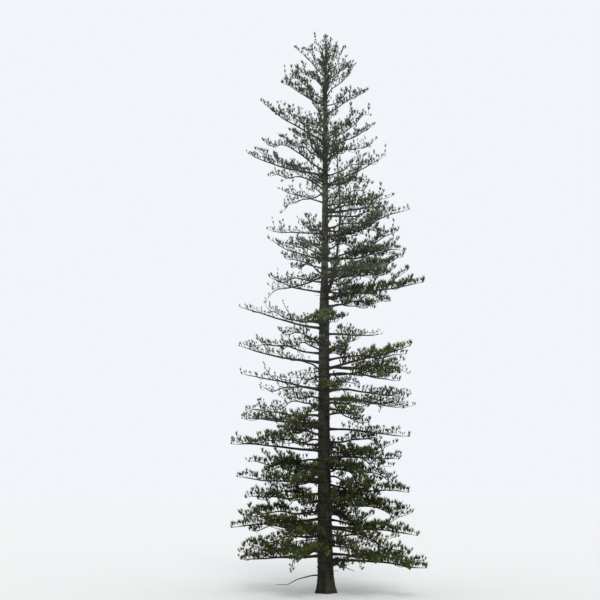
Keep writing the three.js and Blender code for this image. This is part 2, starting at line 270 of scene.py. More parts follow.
# Needles take plain colours, dealt out tuft by tuft, each row from the darkest to the lightest: partly the
# needles' own differences and partly shaded to sunlit copies of the same needles, that is painted shade
# and painted sunlight. Most tufts are warm low in the crown and cool high in it; the cool ones are partly
# the needles' own blue-green and partly painted bluish sky light.
needleColours = {
    "warm": [(0.011, 0.019, 0.005), (0.021, 0.032, 0.007), (0.037, 0.051, 0.009), (0.062, 0.077, 0.014),
             (0.098, 0.112, 0.025), (0.142, 0.155, 0.041)],
    "cool": [(0.021, 0.035, 0.023), (0.036, 0.055, 0.036), (0.057, 0.082, 0.050), (0.087, 0.114, 0.068),
             (0.123, 0.151, 0.089), (0.164, 0.194, 0.114)],
    "dead": [(0.105, 0.062, 0.030)],
    "coolShares": [(4, 0.05), (12, 0.35), (20, 0.75), (35, 0.85)],  # by height: bluer high in the crown, partly the needles' own blue-green and partly painted sky light
    "byLimb": 0.55,  # how much a limb's tufts agree on warm or cool
    "deadShare": 0.012,
    "toneWithPaintedLightAt": [(0, 0.41), (8, 0.42), (12, 0.60), (22, 0.64), (27, 0.50), (35, 0.45)],  # by height, with painted light: darker low in the crown, where it is shaded, and lighter in its middle and upper part
    "limbTones": 0.08,  # how far whole limbs differ
    "tuftTones": 0.15,  # and the tufts on one
    "roughness": 0.68,
    "specular": 0.18,
}
tones = len(needleColours["warm"])


def needleMaterials():
    made = []
    for kind in ("warm", "cool", "dead"):
        for number, colour in enumerate(needleColours[kind], 1):
            name = f"needles_{kind}_{number}"
            material, shader = newMaterial(name, needleColours["roughness"], needleColours["specular"])
            shader.inputs["Base Color"].default_value = (*colour, 1)
            made.append(material)
    return made


# Meshes from arrays

def meshPiece(name, points, faces, materials, tints=None):
    mesh = bpy.data.meshes.new(name)
    mesh.vertices.add(len(points))
    mesh.vertices.foreach_set("co", points.astype(np.float32).ravel())
    mesh.loops.add(faces.size)
    mesh.loops.foreach_set("vertex_index", faces.astype(np.int32).ravel())
    mesh.polygons.add(len(faces))
    mesh.polygons.foreach_set("loop_start", np.arange(0, faces.size, 3, dtype=np.int32))
    for material in materials:
        mesh.materials.append(material)
    if tints is not None:
        mesh.polygons.foreach_set("material_index", tints.astype(np.int32))
    mesh.update(calc_edges=True)
    mesh.shade_smooth()
    piece = bpy.data.objects.new(name, mesh)
    bpy.context.scene.collection.objects.link(piece)
    return piece


def frameOf(headings):  # sideways and lifted directions square to each heading
    side = np.cross(headings, up)
    upright = np.linalg.norm(side, axis=1) < 1e-3
    side[upright] = (1.0, 0.0, 0.0)
    side = unit(side)
    return side, np.cross(headings, side)


# A twig: a ring of three corners at its foot, one further out, and a point. A needle: a ring and a point.
twigFaces = np.array([
    [0, 2, 1],
    [0, 1, 4], [0, 4, 3], [1, 2, 5], [1, 5, 4], [2, 0, 3], [2, 3, 5],
    [3, 4, 6], [4, 5, 6], [5, 3, 6],
])
needleFaces = np.array([[0, 2, 1], [0, 1, 3], [1, 2, 3], [2, 0, 3]])


def ringsOf(middles, headings, girths, turns):  # three corners round each middle
    side, lift = frameOf(headings)
    angles = turns[:, None] + np.arange(3) * 2 * math.pi / 3
    across = side[:, None] * np.cos(angles)[..., None] + lift[:, None] * np.sin(angles)[..., None]
    return middles[:, None] + across * girths[:, None, None]


def bentSprouts(feet, knees, tips, girths, turns):  # many twigs at once, each bent through its knee
    rings = []
    for share, girth in twig["rings"]:
        middle = (1 - share) ** 2 * feet + 2 * share * (1 - share) * knees + share ** 2 * tips
        heading = unit((1 - share) * (knees - feet) + share * (tips - knees))
        rings.append(ringsOf(middle, heading, girths * girth, turns))
    return np.concatenate([*rings, tips[:, None]], axis=1)


def straightSprouts(feet, tips, girths, turns):  # many needles at once
    return np.concatenate([ringsOf(feet, unit(tips - feet), girths, turns), tips[:, None]], axis=1)


def facesOf(sprouts, faces):  # the same faces for each sprout
    start = sprouts.shape[1] * np.arange(len(sprouts))
    return (faces[None] + start[:, None, None]).reshape(-1, 3)


def tube(limb, shares, radii, sides, rng, unevenness=0.08, footCap=0.4):
    # Rings of corners along a limb's path, closed with a point at each end.
    middle = pointAt(limb, shares)
    heading = headingAt(limb, shares)
    side, lift = frameOf(heading)
    angles = np.arange(sides) * 2 * math.pi / sides
    radius = radii[:, None] * (1 + unevenness * rng.uniform(-1, 1, (len(shares), sides)))
    points = (middle[:, None] + side[:, None] * (radius * np.cos(angles))[..., None]
              + lift[:, None] * (radius * np.sin(angles))[..., None]).reshape(-1, 3)
    foot = middle[:1] - heading[:1] * radii[0] * footCap
    tip = middle[-1:] + heading[-1:] * radii[-1]
    return np.vstack([points, foot, tip]), tubeFaces(len(shares), sides)


def tubeFaces(rings, sides):
    faces = []
    first, last = rings * sides, rings * sides + 1
    for corner in range(sides):
        after = (corner + 1) % sides
        faces.append((first, after, corner))
        for ring in range(rings - 1):
            a, b = ring * sides + corner, ring * sides + after
            faces.append((a, b, b + sides))
            faces.append((a, b + sides, a + sides))
        faces.append(((rings - 1) * sides + corner, (rings - 1) * sides + after, last))
    return np.array(faces)


def joined(parts):  # one array of points and one of faces from several
    points, faces, start = [], [], 0
    for partPoints, partFaces in parts:
        points.append(partPoints)
        faces.append(partFaces + start)
        start += len(partPoints)
    return np.vstack(points), np.vstack(faces)


# The trunk

trunk = {
    "height": 35.0,
    "top": 34.0,  # of the wood
    "profile": [(0, 0.640), (0.35, 0.545), (1.0, 0.480), (2.4, 0.445), (9.6, 0.352), (17.0, 0.306),
                (18.7, 0.218), (24.6, 0.178), (29.5, 0.138), (32.4, 0.078), (34.0, 0.034)],
    "bow": 0.170,
    "sway": 0.070,
    "swayShare": 0.625,
    "flareLobes": 5,
    "flareTurn": 0.8,
    "flareDepth": 0.16,
    "flareFade": 0.7,
    "sides": 24,
    "plainRings": 34,
    "ringCrowding": 1.5,  # how much closer they lie near the foot, as a power
    "cutHeight": 0.006,
    "rim": 0.015,
    "collarRises": (-0.45, 0.16, 0.96),  # over each tier's height
    "topCollar": 32.6,
    "collarClear": 0.2,  # plain rings nearer than this to a collar are left out
    "collarSteps": [(-0.11, 0.0), (-0.05, -0.035), (0.0, 0.085), (0.085, 0.0)],  # height and swell
    "collarShadowLine": (0.055, 0.035),  # drop and width of the painted shadow line under a collar
    "rounding": 2,
    "relief": [("plates", 0.12, 0.046, (1, 1, 0.45)), ("grain", 0.05, 0.014, (1, 1, 0.5))],
}


def trunkAxis(z):
    share = z / trunk["height"]
    sway = trunk["sway"] * math.sin(math.pi * min(1, share / trunk["swayShare"]))
    return np.array([trunk["bow"] * share * share - sway, 0.0, z])


def trunkRadius(z):
    return float(along(trunk["profile"], z))


# The limbs, by the source's rule

crown = {
    "tiers": [  # root height, then the reach to the left, to the right and in depth
        (2.2, 5.7, 5.9, 5.5), (4.2, 5.5, 5.5, 5.4), (6.2, 5.3, 5.0, 5.3), (8.1, 5.7, 5.0, 5.2),
        (9.9, 6.2, 5.0, 5.2), (11.7, 4.9, 5.8, 4.9), (13.6, 5.6, 5.4, 4.7), (15.7, 5.4, 3.7, 4.4),
        (17.9, 3.8, 5.9, 4.2), (19.9, 3.4, 5.5, 4.0), (21.7, 3.6, 4.8, 3.8), (23.5, 2.9, 4.9, 3.7),
        (25.3, 4.9, 3.8, 3.5), (27.6, 4.2, 3.4, 3.0), (30.0, 2.9, 2.7, 2.4), (32.1, 1.9, 1.8, 1.6),
    ],
    "furthestReach": 6.5,
    "azimuthSwing": 30,
    "azimuthJitter": 13,
    "depthJitter": 26,
    "rightAzimuth": 8,
    "rightDrop": 0.45,
    "depthRise": 0.38,
    "rootJitter": 0.12,
    "riseJitter": 5,
    "sweep": 14,
    "rootRise": [(0, -4), (12, 5), (20, 6), (26, 16), (30, 34), (34, 48)],
    "tipRise": [(0, -9), (9, -10), (14, 2), (19, 12), (26, 26), (30, 40), (34, 52)],
    "leftUpturn": 12,
    "upturnBelow": 20,
    "boughReach": 5.6,
    "boughShare": 0.36,
    "footShare": 0.17,
    "bareEnd": 0.02,
    "wander": 0.07,
}

# Further boughs between the source's, on the left, on the right and in depth: height over the tier,
# turn from the source's own azimuth and share of the reach there. Where the crown is thickest there
# are more of them.
filler = {
    "seed": 300,
    "extraSeed": 700,
    "boughs": [
        [(0.38, -40, 0.86), (0.98, 36, 0.80)],
        [(0.02, -38, 0.85), (0.94, 34, 0.80)],
        [(-0.45, 180, 0.93), (1.02, 46, 0.84)],
    ],
    "more": [
        [(0.62, 58, 0.82), (1.38, -14, 0.86)],
        [(0.58, 66, 0.84), (1.42, -20, 0.88), (1.16, 8, 0.70)],
        [(0.66, -52, 0.86), (1.46, 150, 0.88)],
    ],
    "moreWhere": [
        [(0, 9), (29, 35)],
        [(0, 14.5), (17, 26), (29, 35)],
        [(0, 9), (17, 22), (29, 35)],
    ],
    "clear": [  # heights where no further bough leaves the trunk
        [(11.9, 12.9), (15.9, 18.5), (21.6, 24.8)],
        [(8.8, 10.6), (14.2, 16.9)],
        [(14.8, 17.9), (21.8, 24.6)],
    ],
    "moveMost": 0.4,  # out of a clear stretch, or else a bough is left out
    "wander": 0.24,
    "azimuthJitter": 11,
    "reachJitter": 0.10,
    "bare": [(0, 0.24), (8, 0.26), (12, 0.33), (17, 0.29), (21, 0.22), (35, 0.18)],  # share by height
    "bareJitter": 0.09,
    "front": 270,
    "frontClear": [(0, 34), (16, 34), (18, 0)],  # how far they turn from the front, where the trunk shows
    "leans": [(0, 5), (12, 8), (20, 15), (28, 15), (34, 6)],  # how far they rise or hang off the rule
    "sweep": 24,
    "upturns": [
        [(0, 8), (20, 8), (22, 0)],
        [(0, -4), (8, -18), (13, -16), (16, 0)],
        [(0, 0), (35, 0)],
    ],
    "arches": [(0, 0), (14, 3), (20, 12), (28, 17), (33, 5)],  # steeper at the root and lower at the tip
    "archShares": (1.0, 0.2, 0.6),
    "archJitter": 0.3,
    "archDrop": 2.1,  # of the tip, for each degree more at the root
    "rootJitter": 0.09,
    "topRoot": 33.4,
    "highest": 34.75,
}

# How thick the foliage is by height: on the left, on the right, and to the front and back.
lushness = {
    "left": [(0, 1.45), (8, 1.35), (11, 0.86), (11.5, 0.50), (12.4, 0.50), (12.8, 0.86), (15, 0.86),
             (15.5, 0.50), (16.3, 0.50), (17, 0.7), (17.8, 0.55), (18.6, 0.55), (19.1, 0.8), (21, 1.1),
             (22, 0.65), (24, 0.65), (25, 1.25), (31, 1.25)],
    "right": [(0, 1.44), (8.5, 1.4), (9.0, 0.75), (10.5, 0.75), (11.6, 0.9), (12.4, 1.5), (14.2, 1.4),
              (15.1, 0.2), (15.6, 0.2), (16.2, 0.35), (16.5, 1.6), (20.8, 1.5), (21.2, 1.1), (23, 1.25),
              (26, 1.0), (31, 1.1)],
    "deep": [(0, 1.4), (8, 1.3), (11, 1.0), (12.4, 0.65), (13, 0.65), (13.8, 0.95), (14.6, 1.0),
             (15.2, 0.35), (15.7, 1.0), (18, 1.2), (19, 1.05), (21, 1.05), (22, 0.7), (24.4, 0.7),
             (25, 1.15), (31, 1.15)],
    "spread": 0.22,
    "tuftGrowth": 0.45,  # how much larger the tufts are on a lush limb, as a power
}


def lushAt(height, azimuth, seed):
    across = math.cos(math.radians(azimuth))
    side = along(lushness["left" if across < 0 else "right"], height)
    plain = mix(along(lushness["deep"], height), side, across ** 2)
    return float(plain * (1 + lushness["spread"] * scatter(seed, 5, 15)))


def limbLine(height, azimuth, reach, riseAtRoot, riseAtTip, sweep):
    half = reach / 2
    root = trunkAxis(height)
    knee = root + level(azimuth) * half + up * half * math.tan(math.radians(riseAtRoot))
    tip = knee + level(azimuth + sweep) * half + up * half * math.tan(math.radians(riseAtTip))
    return root, knee, tip


def newLimb(tier, seed, root, azimuth, reach, lean, upturn, sweep, wander):
    riseAtRoot = along(crown["rootRise"], root) + lean
    riseAtTip = along(crown["tipRise"], root) + lean + upturn
    path = pathOf(limbLine(root, azimuth, reach, riseAtRoot, riseAtTip, sweep), wander, seed)
    return {"tier": tier, "seed": seed, "path": path, "reach": reach, "length": pathLength(path),
            "lush": lushAt(root, azimuth, seed), "level": 0}


def sourceLimb(tier, s, height, span, middle, offset):
    root = height + offset + crown["rootJitter"] * scatter(tier, s, 1)
    jitter = crown["azimuthJitter"] if s < 2 else crown["depthJitter"]
    azimuth = middle + jitter * scatter(tier, s, 3)
    across = abs(math.cos(math.radians(azimuth))) if s < 2 else 1
    reach = min(span / across, crown["furthestReach"])
    upturn = crown["leftUpturn"] if s == 0 and height < crown["upturnBelow"] else 0
    lean = crown["riseJitter"] * scatter(tier, s, 2)
    sweep = crown["sweep"] * scatter(tier, s, 4)
    limb = newLimb(tier, tier * 3 + s, root, azimuth, reach, lean, upturn, sweep, crown["wander"])
    limb["leafFrom"] = crown["footShare"]
    if span >= crown["boughReach"]:
        limb["leafFrom"] = crown["boughShare"] + crown["bareEnd"]
    return limb, azimuth


def spanAt(height, azimuth):  # the reach that the tiers give at any height and heading
    heights, left, right, depth = zip(*crown["tiers"])
    across = math.cos(math.radians(azimuth))
    sideSpan = np.interp(height, heights, left if across < 0 else right)
    deepSpan = np.interp(height, heights, depth)
    return math.hypot(across * sideSpan, math.sin(math.radians(azimuth)) * deepSpan)


def clearOfFront(azimuth, height):
    aside = (azimuth - filler["front"] + 180) % 360 - 180
    clear = float(along(filler["frontClear"], height))
    return filler["front"] + math.copysign(max(abs(aside), clear), aside)


def fillerLimb(tier, s, k, height, azimuth, share):
    seed = filler["seed"] + tier * 18 + s * 6 + k
    heading = clearOfFront(azimuth + filler["azimuthJitter"] * scatter(seed, s, 11), height)
    reach = spanAt(height, heading) * share * (1 + filler["reachJitter"] * scatter(seed, s, 12))
    lean = along(filler["leans"], height) * scatter(seed, s, 2)
    arch = along(filler["arches"], height) * filler["archShares"][s]
    arch *= 1 - filler["archJitter"] + filler["archJitter"] * scatter(seed, s, 16)
    upturn = along(filler["upturns"][s], height) - filler["archDrop"] * arch
    steepest = math.tan(math.radians(along(crown["tipRise"], height) + lean))
    reach = min(reach, (filler["highest"] - height) / max(0.1, steepest))  # it ends under the tree's tip
    sweep = filler["sweep"] * scatter(seed, s, 4)
    limb = newLimb(tier, seed, height, heading, reach, lean + arch, upturn, sweep, filler["wander"])
    limb["leafFrom"] = along(filler["bare"], height) + filler["bareJitter"] * scatter(seed, s, 13)
    return limb


def outOfClear(root, s):  # moved to the nearer end of a clear stretch
    for bottom, top in filler["clear"][s]:
        if bottom < root < top:
            end = bottom if root - bottom < top - root else top
            return end if abs(end - root) < filler["moveMost"] else None
    return root


def fillerLimbs(tier, s, turn, height, azimuth):
    plans = list(filler["boughs"][s])
    if any(bottom <= height < top for bottom, top in filler["moreWhere"][s]):
        plans += filler["more"][s]
    made = []
    for k, (rise, swing, share) in enumerate(plans):
        root = outOfClear(height + rise, s)
        if root is None:
            continue
        root += filler["rootJitter"] * scatter(tier * 3 + s, k, 14)
        if root < filler["topRoot"]:
            made.append(fillerLimb(tier, s, k, root, azimuth + swing * turn, share))
    return made


# Single boughs where the photograph has more than the rules give: root height, azimuth, reach, lean,
# upturn at the tip and how lush.
extraBoughs = [
    (11.9, 284, 2.4, -4, 0, 1.4),
    (12.75, -24, 4.8, -4, -2, 1.2),
    (12.8, 18, 5.0, -3, 0, 1.2),
    (13.2, -6, 5.2, -4, -3, 1.2),
    (13.9, 294, 2.4, -2, 0, 1.4),
    (15.75, 262, 2.8, -2, 0, 1.6),
    (15.9, 243, 2.0, -4, 0, 1.5),
    (15.85, 288, 2.4, -2, 0, 1.5),
    (16.95, -16, 3.6, -2, 0, 1.5),
    (17.05, 30, 3.4, -2, 0, 1.5),
    (17.35, 312, 2.6, -2, 0, 1.4),
    (17.5, 62, 3.0, 0, 0, 1.4),
    (18.1, 48, 3.2, 0, 0, 1.1),
    (18.2, 318, 3.0, -4, 0, 1.1),
    (18.9, 172, 4.0, -22, -10, 0.5),
    (19.85, -24, 4.3, -3, 0, 1.5),
    (20.0, 14, 5.5, 0, 0, 1.5),
    (21.9, -14, 3.9, 0, 0, 1.25),
    (22.75, 12, 4.5, -6, -2, 0.75),
    (24.3, 186, 2.9, -38, -2, 0.9),
    (24.4, 178, 3.8, 26, -62, 0.9),
    (26.6, 168, 2.9, 4, 0, 1.1),
    (27.2, 196, 2.5, -4, 0, 1.3),
    (27.7, -35, 2.2, 6, 0, 1.3),
    (27.9, 35, 2.0, 8, 0, 1.3),
]


def extraLimbs():
    made = []
    for k, (root, azimuth, reach, lean, upturn, lush) in enumerate(extraBoughs):
        tier = max(i for i, plan in enumerate(crown["tiers"]) if plan[0] <= root)
        seed = filler["extraSeed"] + k
        sweep = filler["sweep"] * scatter(seed, 1, 4)
        limb = newLimb(tier, seed, root, azimuth, reach, lean, upturn, sweep, filler["wander"])
        made.append({**limb, "lush": lush, "leafFrom": along(filler["bare"], root)})
    return made


def allBoughs():
    boughs = extraLimbs()
    for tier, (height, *spans) in enumerate(crown["tiers"]):
        turn = 1 if tier % 2 else -1
        swing = crown["azimuthSwing"] * turn
        sides = [
            (180 + swing, 0),
            (crown["rightAzimuth"] + swing, -crown["rightDrop"]),
            (90 * turn, crown["depthRise"]),
        ]
        for s, (middle, offset) in enumerate(sides):
            limb, azimuth = sourceLimb(tier, s, height, spans[s], middle, offset)
            boughs.append(limb)
            boughs += fillerLimbs(tier, s, turn, height, azimuth)
    return boughs


# Side limbs: the source's two first, and then shorter ones further out.
sideLimb = {
    "places": [(0.22, 1, 0.35), (0.42, -1, 0.35), (0.58, 1, 0.25), (0.72, -1, 0.18),
               (0.08, -1, 0.30), (0.86, 1, 0.11)],  # place, side and length of each
    "plainPlaces": 4,  # of these on a bough that isn't lush
    "lushFrom": 1.2,
    "placeJitter": 0.05,
    "lengthJitter": 0.2,
    "leastReach": 2.2,
    "angle": 40,
    "angleJitter": 13,
    "rise": 8,
    "riseJitter": 15,
    "tipUpturn": 10,
    "stemEnd": 0.93,
    "girth": 0.62,
    "leafFrom": 0.12,
    "wander": 0.10,
}


def sideLimbs(bough):
    made = []
    if bough["reach"] < sideLimb["leastReach"]:
        return made
    count = len(sideLimb["places"]) if bough["lush"] > sideLimb["lushFrom"] else sideLimb["plainPlaces"]
    for k, (place, side, share) in enumerate(sideLimb["places"][:count]):
        seed = bough["seed"]
        spot = place + sideLimb["placeJitter"] * scatter(seed, k, 8)
        t = mix(bough["leafFrom"], sideLimb["stemEnd"], spot)
        foot = pointAt(bough, t)[0]
        angle = sideLimb["angle"] + sideLimb["angleJitter"] * scatter(seed, k, 17)
        heading = turned(headingAt(bough, t)[0], angle * side)
        rise = sideLimb["rise"] + sideLimb["riseJitter"] * scatter(seed, k, 18)
        inner = unit(heading + up * math.tan(math.radians(rise)))
        outer = unit(heading + up * math.tan(math.radians(rise + sideLimb["tipUpturn"])))
        length = bough["reach"] * share * (1 + sideLimb["lengthJitter"] * scatter(seed, k, 9))
        line = (foot, foot + inner * length / 2, foot + (inner + outer) * length / 2)
        path = pathOf(line, sideLimb["wander"], seed + 40 * k)
        made.append({**bough, "path": path, "reach": length, "length": length,
                     "leafFrom": sideLimb["leafFrom"], "girth": boughRadius(bough, t) * sideLimb["girth"],
                     "seed": seed + 1000 * (k + 1), "level": 1})
    return made


# The boughs' wood
boughWood = {
    "thinnest": 0.017,
    "growth": 0.0115,
    "taper": 0.75,
    "rootDepth": 0.8,  # of the trunk's radius, where it starts inside the trunk
    "end": 0.99,
    "sides": 8,
    "rings": 26,
    "collarSwell": 0.55,
    "collarFade": 0.13,
    "tipShare": 0.12,  # of a bough, over which it thins to its tip
    "tipGirth": 0.3,
    "sideSides": 5,
    "sideRings": 9,
    "sideSpan": (0.01, 0.98),
    "sideTaper": 0.74,
}


def boughRadius(bough, t):
    girth = boughWood["thinnest"] + bough["reach"] * boughWood["growth"]
    return girth * (1 - boughWood["taper"] * t)


def boughTube(bough):
    rng = np.random.default_rng(bough["seed"])
    bark = trunkRadius(bough["path"][0][2]) / bough["length"]  # where the bough leaves the trunk
    shares = np.linspace(boughWood["rootDepth"] * bark, boughWood["end"], boughWood["rings"])
    outside = np.maximum(0, shares - bark) * bough["length"]
    swell = 1 + boughWood["collarSwell"] * np.exp(-outside / boughWood["collarFade"])
    thin = np.clip((1 - shares) / boughWood["tipShare"], boughWood["tipGirth"], 1)
    return tube(bough, shares, boughRadius(bough, shares) * swell * thin, boughWood["sides"], rng)


def sideTube(limb):
    rng = np.random.default_rng(limb["seed"])
    shares = np.linspace(*boughWood["sideSpan"], boughWood["sideRings"])
    radii = limb["girth"] * (1 - boughWood["sideTaper"] * shares)
    return tube(limb, shares, radii, boughWood["sideSides"], rng)


# Twigs: by turns to the left and right of a limb, or all round a stem, bent upwards at their ends.
twig = {
    "turnSeed": 800,
    "spacing": 0.118,
    "sideSpacing": 1.15,  # times that on a side limb
    "fewest": 4,
    "placeJitter": 0.4,
    "longest": 0.66,  # on a bough of full reach
    "fullReach": 5.0,
    "reachShares": (0.55, 1.05),  # how far a bough's reach shortens or lengthens them
    "sideLongest": 0.44,
    "lengthFade": 0.62,  # towards the tip
    "innerLength": (0.5, 2.4),  # at the foot of the leafy stretch, and what it gains from there
    "lengthJitter": (0.6, 1.25),
    "bend": (0.55, 0.45),  # lengths of the two parts
    "angle": 62,
    "angleFade": 0.35,
    "angleJitter": 12,
    "rise": 0.12,
    "steepest": 0.8,
    "tipRise": 1.9,
    "uprightShare": 0.36,  # of the twigs stand up from the limb as short stalks
    "uprightRise": 2.4,
    "uprightLength": 0.62,
    "whipShares": [(18, 0), (23, 0.10), (32, 0.10), (33, 0)],  # by height, of the upright ones
    "whipLength": 0.75,
    "whipJitter": (0.7, 1.2),
    "roundPlaces": (0.2, 0.8),  # round a stem: places, turns, lengths and rises
    "roundTurns": 0.5,
    "roundLengths": (0.6, 1.2),
    "roundRises": (0.3, 1.1),
    "girth": 0.011,
    "girthBase": 0.6,  # in metres, added to the length that the girth follows
    "tuftSpacing": 0.33,
    "rings": ((0.0, 1.0), (0.58, 0.66)),  # place and girth
}


def bentTwigs(foot, flat, length, rise):
    inner, outer = twig["bend"]
    knee = foot + unit(flat + up * rise[:, None]) * (length * inner)[:, None]
    tip = knee + unit(flat + up * (rise + twig["tipRise"])[:, None]) * (length * outer)[:, None]
    return foot, knee, tip, length


def twigLengths(limb, share, rng):
    least, most = twig["reachShares"]
    longest = twig["longest"] * min(most, max(least, limb["reach"] / twig["fullReach"]))
    longest = twig["sideLongest"] if limb["level"] else longest
    first, more = twig["innerLength"]
    length = longest * (1 - twig["lengthFade"] * share) * np.minimum(1, first + more * share)
    return length * rng.uniform(*twig["lengthJitter"], len(share))


def twigsAlong(limb, rng):
    spacing = twig["spacing"] / limb["lush"] * (twig["sideSpacing"] if limb["level"] else 1)
    count = max(twig["fewest"], int(limb["length"] * (1 - limb["leafFrom"]) / spacing))
    share = (np.arange(count) + 0.5 + twig["placeJitter"] * rng.uniform(-1, 1, count)) / count
    t = limb["leafFrom"] + (boughWood["end"] - limb["leafFrom"]) * share
    foot, heading = pointAt(limb, t), headingAt(limb, t)
    sideways = frameOf(heading)[0]
    hand = np.where(np.arange(count) % 2, 1.0, -1.0)
    angle = twig["angle"] * (1 - twig["angleFade"] * share)
    angle = np.radians(angle + twig["angleJitter"] * rng.uniform(-1, 1, count))
    flat = heading * np.cos(angle)[:, None] + sideways * (hand * np.sin(angle))[:, None]
    length = twigLengths(limb, share, rng)
    rise = twig["rise"] + twig["steepest"] * rng.uniform(0, 1, count) ** 3
    upright = rng.uniform(0, 1, count) < twig["uprightShare"]
    length = np.where(upright, length * twig["uprightLength"], length)
    whip = rng.uniform(0, 1, count) < along(twig["whipShares"], foot[:, 2])
    whipLength = twig["whipLength"] * rng.uniform(*twig["whipJitter"], count)
    length = np.where(whip & upright, whipLength, length)
    return bentTwigs(foot, flat, length, np.where(upright, twig["uprightRise"], rise))


def twigsRound(stem, rng):
    count = int(stem["length"] / stem["twigSpacing"])
    t = (np.arange(count) + rng.uniform(*twig["roundPlaces"], count)) / count
    turn = rng.uniform(-twig["roundTurns"], twig["roundTurns"], count)
    around = np.arange(count) * goldenTurn + turn
    flat = np.stack([np.cos(around), np.sin(around), np.zeros(count)], axis=1)
    length = mix(*stem["twigLengths"], t) * rng.uniform(*twig["roundLengths"], count)
    return bentTwigs(pointAt(stem, t), flat, length, rng.uniform(*twig["roundRises"], count))


# Tufts: needles that fan out and rise together at a twig's end and at points along it.
tuft = {
    "seed": 5000,
    "turnSeed": 900,
    "mostOnTwig": 5,
    "bareShare": 0.2,  # of a twig next to its limb, where only its own end may hold a tuft
    "endPlace": 0.99,  # of the tuft at a limb's end, and where its heading is taken
    "endHeading": 0.97,
    "needles": 12,
    "length": 0.213,
    "topLength": 0.9,  # at the top of the tree, as a share
    "twigGrowth": (0.72, 0.70),  # size on the shortest twig, and what each metre of twig adds
    "sizeJitter": 0.32,
    "needleLengths": (0.60, 1.15),
    "spread": 0.85,
    "spreadJitter": (0.7, 1.2),
    "lean": 0.35,  # how far a tuft leans along its twig
    "footScatter": 0.045,
    "girth": 0.084,  # of a needle's foot, as a share of its length
    "groundClear": 0.12,
}


def tuftsOn(foot, knee, tip, length):
    places, headings, growth = [], [], []
    least, more = tuft["twigGrowth"]
    for step in range(tuft["mostOnTwig"]):
        share = 1 - step * twig["tuftSpacing"] / np.maximum(length, 1e-3)
        held = share > (tuft["bareShare"] if step else 0.0)
        t = share[held][:, None]
        places.append((1 - t) ** 2 * foot[held] + 2 * t * (1 - t) * knee[held] + t ** 2 * tip[held])
        headings.append(unit(tip[held] - foot[held]))
        growth.append(least + more * length[held])
    return np.vstack(places), np.vstack(headings), np.concatenate(growth)


def needlesOf(places, headings, sizes, rng):
    # The first needles of a tuft stand up from its middle, and the later ones lean out on all sides.
    each = tuft["needles"]
    count = len(places) * each
    rank = np.tile((np.arange(each) + 0.5) / each, len(places))
    around = np.repeat(rng.uniform(0, 2 * math.pi, len(places)), each) + rank * each * goldenTurn
    wide = (tuft["spread"] * np.sqrt(rank) * rng.uniform(*tuft["spreadJitter"], count))[:, None]
    sway = np.stack([np.cos(around), np.sin(around), np.zeros(count)], axis=1)
    heading = np.repeat(headings, each, axis=0)
    out = unit(up + heading * tuft["lean"] + sway * wide)
    back = tuft["footScatter"] * rng.uniform(0, 1, count)
    base = np.repeat(places, each, axis=0) - heading * back[:, None]
    size = np.repeat(sizes, each) * rng.uniform(*tuft["needleLengths"], count)
    return base, base + out * size[:, None], size


def tuftTints(places, seed, rng):
    # The higher the number, the lighter the colour, from painted shade to painted sunlight: the height
    # sets painted light, whole limbs differ, and tufts on them too.
    tone = along(needleColours["toneWithPaintedLightAt"], places[:, 2]) + needleColours["limbTones"] * scatter(seed, 3, 21)
    tone = tone + needleColours["tuftTones"] * rng.standard_normal(len(places))
    tint = np.clip((tone * tones).astype(int), 0, tones - 1)
    ownLot = rng.uniform(0, 1, len(places))
    limbLot = 0.5 + 0.5 * scatter(seed, 7, 23)
    lot = mix(ownLot, limbLot, needleColours["byLimb"])
    # cool tufts, more of them higher up: partly the needles' own blue-green and partly painted sky light
    cool = lot < along(needleColours["coolShares"], places[:, 2])
    tint = np.where(cool, tint + tones, tint)
    tint[rng.uniform(0, 1, len(places)) < needleColours["deadShare"]] = 2 * tones
    return np.repeat(tint, tuft["needles"])


def leavesOf(limb):
    rng = np.random.default_rng(tuft["seed"] + limb["seed"])
    twigs = twigsRound(limb, rng) if limb["level"] == 2 else twigsAlong(limb, rng)
    places, headings, growth = tuftsOn(*twigs)
    places = np.vstack([places, pointAt(limb, tuft["endPlace"])])
    headings = np.vstack([headings, headingAt(limb, tuft["endHeading"])])
    growth = np.append(growth, 1.0) * limb["lush"] ** lushness["tuftGrowth"]
    size = mix(1.0, tuft["topLength"], places[:, 2] / trunk["height"]) * tuft["length"] * growth
    sizes = size * (1 + tuft["sizeJitter"] * rng.uniform(-1, 1, len(places)))
    return {"tier": limb["tier"], "twigs": twigs, "needles": needlesOf(places, headings, sizes, rng),
            "tints": tuftTints(places, limb["seed"], rng)}


def insideBox(points):
    low, high = np.array(cadLow), np.array(cadHigh)
    low[2] = tuft["groundClear"]
    return np.all((points > low) & (points < high), axis=(1, 2))


# Stage and camera

studio = {
    "floorRadius": 400,
    "floorSides": 96,
    "floorDrop": 0.004,
    "floorColour": (0.72, 0.72, 0.70, 1),
    "floorRoughness": 0.9,
    "floorSpecular": 0.2,
    "skyColour": (0.93, 0.96, 1.0, 1),
    "skyStrength": 0.95,
    "sunStrength": 1.5,
    "sunAngle": 25,
    "sunTurn": (42, -18, 25),
}


def buildFloor():
    bpy.ops.object.select_all(action="DESELECT")
    bpy.ops.mesh.primitive_circle_add(vertices=studio["floorSides"], radius=studio["floorRadius"],
                                      fill_type="NGON", location=(0, 0, -studio["floorDrop"]))
    floor = bpy.context.active_object
    floor.name = "floor"
    material, shader = newMaterial("floorPale", studio["floorRoughness"], studio["floorSpecular"])
    shader.inputs["Base Color"].default_value = studio["floorColour"]
    floor.data.materials.append(material)


